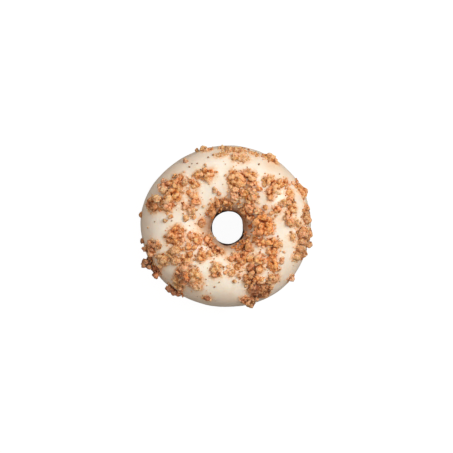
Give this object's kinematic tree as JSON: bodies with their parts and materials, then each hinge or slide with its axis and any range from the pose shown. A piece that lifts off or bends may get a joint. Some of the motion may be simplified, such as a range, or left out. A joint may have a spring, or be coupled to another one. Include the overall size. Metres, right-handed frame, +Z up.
{
  "type": "iced ring doughnut",
  "caption": "Ring doughnut: a fried dough ring with a round hole, pale icing over its top and baked crumb clumps on the icing.",
  "frame": {"origin": "middle of the underside of the part's box, at the height of the flat underside", "axes": "+Z up through the hole, +X to the right and +Y away from the viewer in the usual view from above"},
  "size_m": [0.0904, 0.0858, 0.0357],
  "materials": {
    "dough": "matte golden-brown fried crust with a paler band at the widest line",
    "icing": "smooth set icing, cream white, soft sheen",
    "crumb": "matte rough baked crumb, orange brown, darker in its hollows"
  },
  "bodies": {
    "root": {"dough_ring": "dough", "icing": "icing", "crumb_clump_01": "crumb", "crumb_clump_02": "crumb", "crumb_clump_03": "crumb", "crumb_clump_04": "crumb", "crumb_clump_05": "crumb", "crumb_clump_06": "crumb", "crumb_clump_07": "crumb", "crumb_clump_08": "crumb", "crumb_clump_09": "crumb", "crumb_clump_10": "crumb", "crumb_clump_11": "crumb", "crumb_clump_12": "crumb", "crumb_clump_13": "crumb", "crumb_clump_14": "crumb", "crumb_clump_15": "crumb", "crumb_clump_16": "crumb", "crumb_clump_17": "crumb", "crumb_clump_18": "crumb", "crumb_clump_19": "crumb", "crumb_clump_20": "crumb", "crumb_clump_21": "crumb", "crumb_clump_22": "crumb", "crumb_clump_23": "crumb", "crumb_clump_24": "crumb", "crumb_clump_25": "crumb", "crumb_clump_26": "crumb", "crumb_clump_27": "crumb", "crumb_clump_28": "crumb", "crumb_clump_29": "crumb", "crumb_clump_30": "crumb", "crumb_clump_31": "crumb", "crumb_clump_32": "crumb", "crumb_clump_33": "crumb", "crumb_clump_34": "crumb", "crumb_clump_35": "crumb", "crumb_clump_36": "crumb", "crumb_clump_37": "crumb", "crumb_clump_38": "crumb", "crumb_clump_39": "crumb", "crumb_clump_40": "crumb", "crumb_clump_41": "crumb", "crumb_clump_42": "crumb", "crumb_clump_43": "crumb", "crumb_clump_44": "crumb", "crumb_clump_45": "crumb", "crumb_clump_46": "crumb", "crumb_clump_47": "crumb", "crumb_clump_48": "crumb", "crumb_clump_49": "crumb", "crumb_clump_50": "crumb", "crumb_clump_51": "crumb", "crumb_clump_52": "crumb", "crumb_clump_53": "crumb", "crumb_clump_54": "crumb", "crumb_clump_55": "crumb", "crumb_clump_56": "crumb", "crumb_clump_57": "crumb", "crumb_clump_58": "crumb"}
  },
  "joints": []
}
